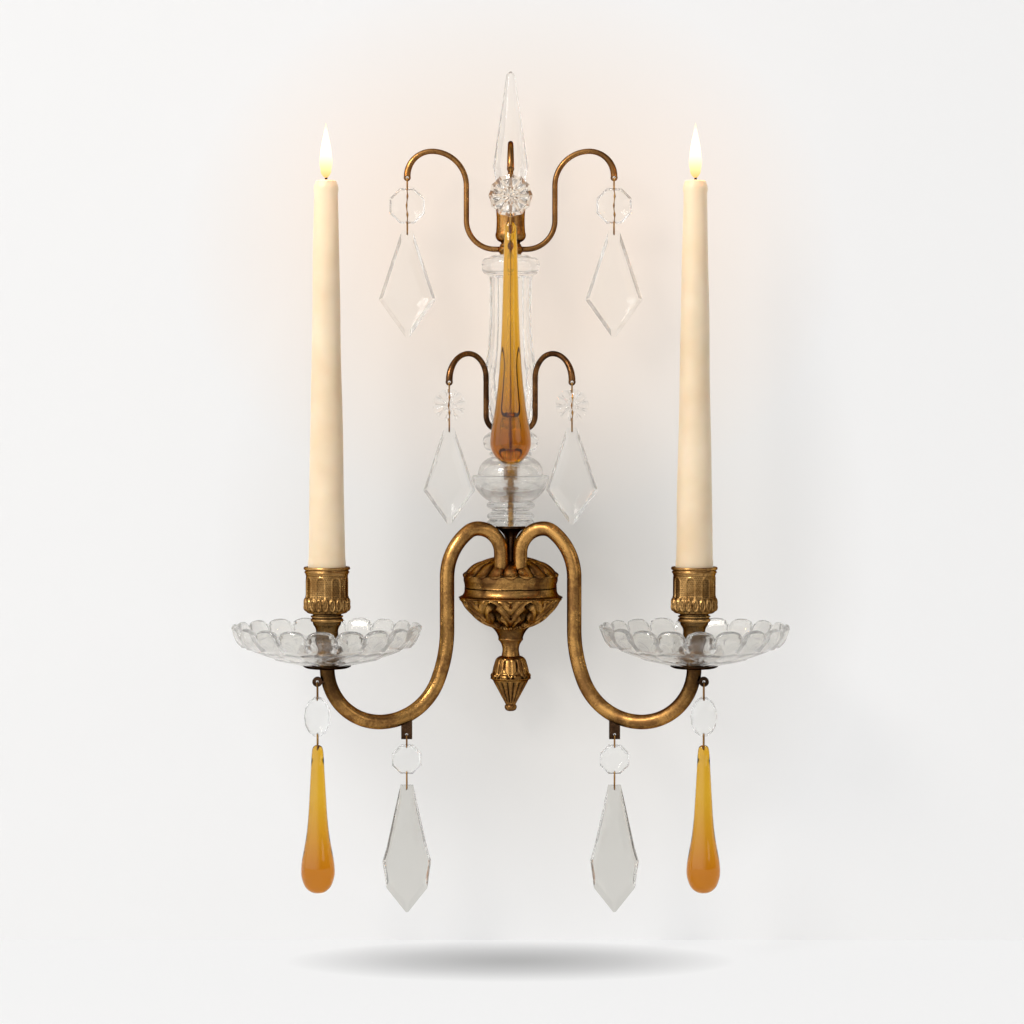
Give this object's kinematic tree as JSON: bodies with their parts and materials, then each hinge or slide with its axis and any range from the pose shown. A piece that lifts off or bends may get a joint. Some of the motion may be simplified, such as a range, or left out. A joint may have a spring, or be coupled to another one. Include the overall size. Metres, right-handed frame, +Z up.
{
  "type": "candle wall sconce",
  "caption": "Brass wall sconce: urn bracket, looped arms with candle cups and glass drip dishes, a glass centre column and hanging cut glass and amber drops.",
  "frame": {"origin": "centre of the keyhole's entry hole, in the wall plane", "axes": "+Z up, +X to the right of someone facing the wall, +Y into the wall"},
  "size_m": [0.3246, 0.1206, 0.4952],
  "materials": {
    "aged_brass": "aged, lightly polished",
    "dark_brass": "dark patina",
    "link_wire": "drawn wire",
    "steel": "zinc plated",
    "clear_glass": "clear, polished",
    "amber_glass": "amber, polished",
    "ivory_wax": "satin wax",
    "wick": "charred cotton"
  },
  "bodies": {
    "root": {"urn_bowl": "aged_brass", "urn_cap": "aged_brass", "hanger_plate": "steel", "hanger_screws": "steel", "bottom_finial": "aged_brass", "stem_collar": "dark_brass", "tie_rod": "steel", "nuts": "aged_brass", "glass_foot": "clear_glass", "glass_bowl": "clear_glass", "glass_bell": "clear_glass", "glass_column": "clear_glass", "spire_cup": "aged_brass", "spire": "clear_glass", "upper_sprig_ring": "aged_brass", "lower_sprig_ring": "aged_brass", "upper_sprig_right": "aged_brass", "upper_sprig_left": "aged_brass", "upper_sprig_front": "aged_brass", "lower_sprig_right": "dark_brass", "lower_sprig_left": "dark_brass", "arm_left": "aged_brass", "dish_left": "clear_glass", "socket_left": "aged_brass", "arm_right": "aged_brass", "dish_right": "clear_glass", "socket_right": "aged_brass", "arm_eyes": "aged_brass", "dish_pans": "aged_brass"},
    "candle_left": {"candle_left": "ivory_wax", "wick_left": "wick"},
    "candle_right": {"candle_right": "ivory_wax", "wick_right": "wick"},
    "upper_left_bead": {"upper_left_links": "link_wire", "upper_left_bead": "clear_glass"},
    "upper_left_drop": {"upper_left_drop": "clear_glass"},
    "upper_right_bead": {"upper_right_links": "link_wire", "upper_right_bead": "clear_glass"},
    "upper_right_drop": {"upper_right_drop": "clear_glass"},
    "front_bead": {"front_links": "link_wire", "front_bead": "clear_glass"},
    "front_drop": {"front_drop": "amber_glass"},
    "lower_left_bead": {"lower_left_links": "link_wire", "lower_left_bead": "clear_glass"},
    "lower_left_drop": {"lower_left_drop": "clear_glass"},
    "lower_right_bead": {"lower_right_links": "link_wire", "lower_right_bead": "clear_glass"},
    "lower_right_drop": {"lower_right_drop": "clear_glass"},
    "inner_left_bead": {"inner_left_links": "link_wire", "inner_left_bead": "clear_glass"},
    "inner_left_drop": {"inner_left_drop": "clear_glass"},
    "inner_right_bead": {"inner_right_links": "link_wire", "inner_right_bead": "clear_glass"},
    "inner_right_drop": {"inner_right_drop": "clear_glass"},
    "outer_left_bead": {"outer_left_links": "link_wire", "outer_left_bead": "clear_glass"},
    "outer_left_drop": {"outer_left_drop": "amber_glass"},
    "outer_right_bead": {"outer_right_links": "link_wire", "outer_right_bead": "clear_glass"},
    "outer_right_drop": {"outer_right_drop": "amber_glass"}
  },
  "joints": [
    {"name": "candle_left_lift", "type": "slide", "parent": "root", "child": "candle_left", "axis": [0, 0, 1], "range_m": [0, 0.022]},
    {"name": "candle_right_lift", "type": "slide", "parent": "root", "child": "candle_right", "axis": [0, 0, 1], "range_m": [0, 0.022]},
    {"name": "upper_left_bead_swing", "type": "hinge", "parent": "root", "child": "upper_left_bead", "pos_m": [-0.0612, -0.026, 0.2458], "axis": [0, 1, 0], "range_deg": [-12, 12]},
    {"name": "upper_left_drop_swing", "type": "hinge", "parent": "upper_left_bead", "child": "upper_left_drop", "pos_m": [-0.0612, -0.026, 0.2125], "axis": [0, 1, 0], "range_deg": [-15, 15]},
    {"name": "upper_right_bead_swing", "type": "hinge", "parent": "root", "child": "upper_right_bead", "pos_m": [0.0612, -0.026, 0.2458], "axis": [0, 1, 0], "range_deg": [-12, 12]},
    {"name": "upper_right_drop_swing", "type": "hinge", "parent": "upper_right_bead", "child": "upper_right_drop", "pos_m": [0.0612, -0.026, 0.2125], "axis": [0, 1, 0], "range_deg": [-15, 15]},
    {"name": "front_bead_swing", "type": "hinge", "parent": "root", "child": "front_bead", "pos_m": [0, -0.0872, 0.2458], "axis": [0, 1, 0], "range_deg": [-12, 12]},
    {"name": "front_drop_swing", "type": "hinge", "parent": "front_bead", "child": "front_drop", "pos_m": [0, -0.0872, 0.2138], "axis": [0, 1, 0], "range_deg": [-15, 15]},
    {"name": "lower_left_bead_swing", "type": "hinge", "parent": "root", "child": "lower_left_bead", "pos_m": [-0.03564, -0.06164, 0.1246], "axis": [0, 1, 0], "range_deg": [-12, 12]},
    {"name": "lower_left_drop_swing", "type": "hinge", "parent": "lower_left_bead", "child": "lower_left_drop", "pos_m": [-0.03564, -0.06164, 0.0962], "axis": [0, 1, 0], "range_deg": [-15, 15]},
    {"name": "lower_right_bead_swing", "type": "hinge", "parent": "root", "child": "lower_right_bead", "pos_m": [0.03564, -0.06164, 0.1246], "axis": [0, 1, 0], "range_deg": [-12, 12]},
    {"name": "lower_right_drop_swing", "type": "hinge", "parent": "lower_right_bead", "child": "lower_right_drop", "pos_m": [0.03564, -0.06164, 0.0962], "axis": [0, 1, 0], "range_deg": [-15, 15]},
    {"name": "inner_left_bead_swing", "type": "hinge", "parent": "root", "child": "inner_left_bead", "pos_m": [-0.06105, -0.04992, -0.0821], "axis": [0, 1, 0], "range_deg": [-12, 12]},
    {"name": "inner_left_drop_swing", "type": "hinge", "parent": "inner_left_bead", "child": "inner_left_drop", "pos_m": [-0.06105, -0.04992, -0.1139], "axis": [0, 1, 0], "range_deg": [-15, 15]},
    {"name": "inner_right_bead_swing", "type": "hinge", "parent": "root", "child": "inner_right_bead", "pos_m": [0.06105, -0.04992, -0.0821], "axis": [0, 1, 0], "range_deg": [-12, 12]},
    {"name": "inner_right_drop_swing", "type": "hinge", "parent": "inner_right_bead", "child": "inner_right_drop", "pos_m": [0.06105, -0.04992, -0.1139], "axis": [0, 1, 0], "range_deg": [-15, 15]},
    {"name": "outer_left_bead_swing", "type": "hinge", "parent": "root", "child": "outer_left_bead", "pos_m": [-0.1122, -0.0674, -0.0493], "axis": [0, 1, 0], "range_deg": [-8, 12]},
    {"name": "outer_left_drop_swing", "type": "hinge", "parent": "outer_left_bead", "child": "outer_left_drop", "pos_m": [-0.1122, -0.0674, -0.0884], "axis": [0, 1, 0], "range_deg": [-15, 15]},
    {"name": "outer_right_bead_swing", "type": "hinge", "parent": "root", "child": "outer_right_bead", "pos_m": [0.1122, -0.0674, -0.0493], "axis": [0, 1, 0], "range_deg": [-12, 8]},
    {"name": "outer_right_drop_swing", "type": "hinge", "parent": "outer_right_bead", "child": "outer_right_drop", "pos_m": [0.1122, -0.0674, -0.0884], "axis": [0, 1, 0], "range_deg": [-15, 15]}
  ]
}
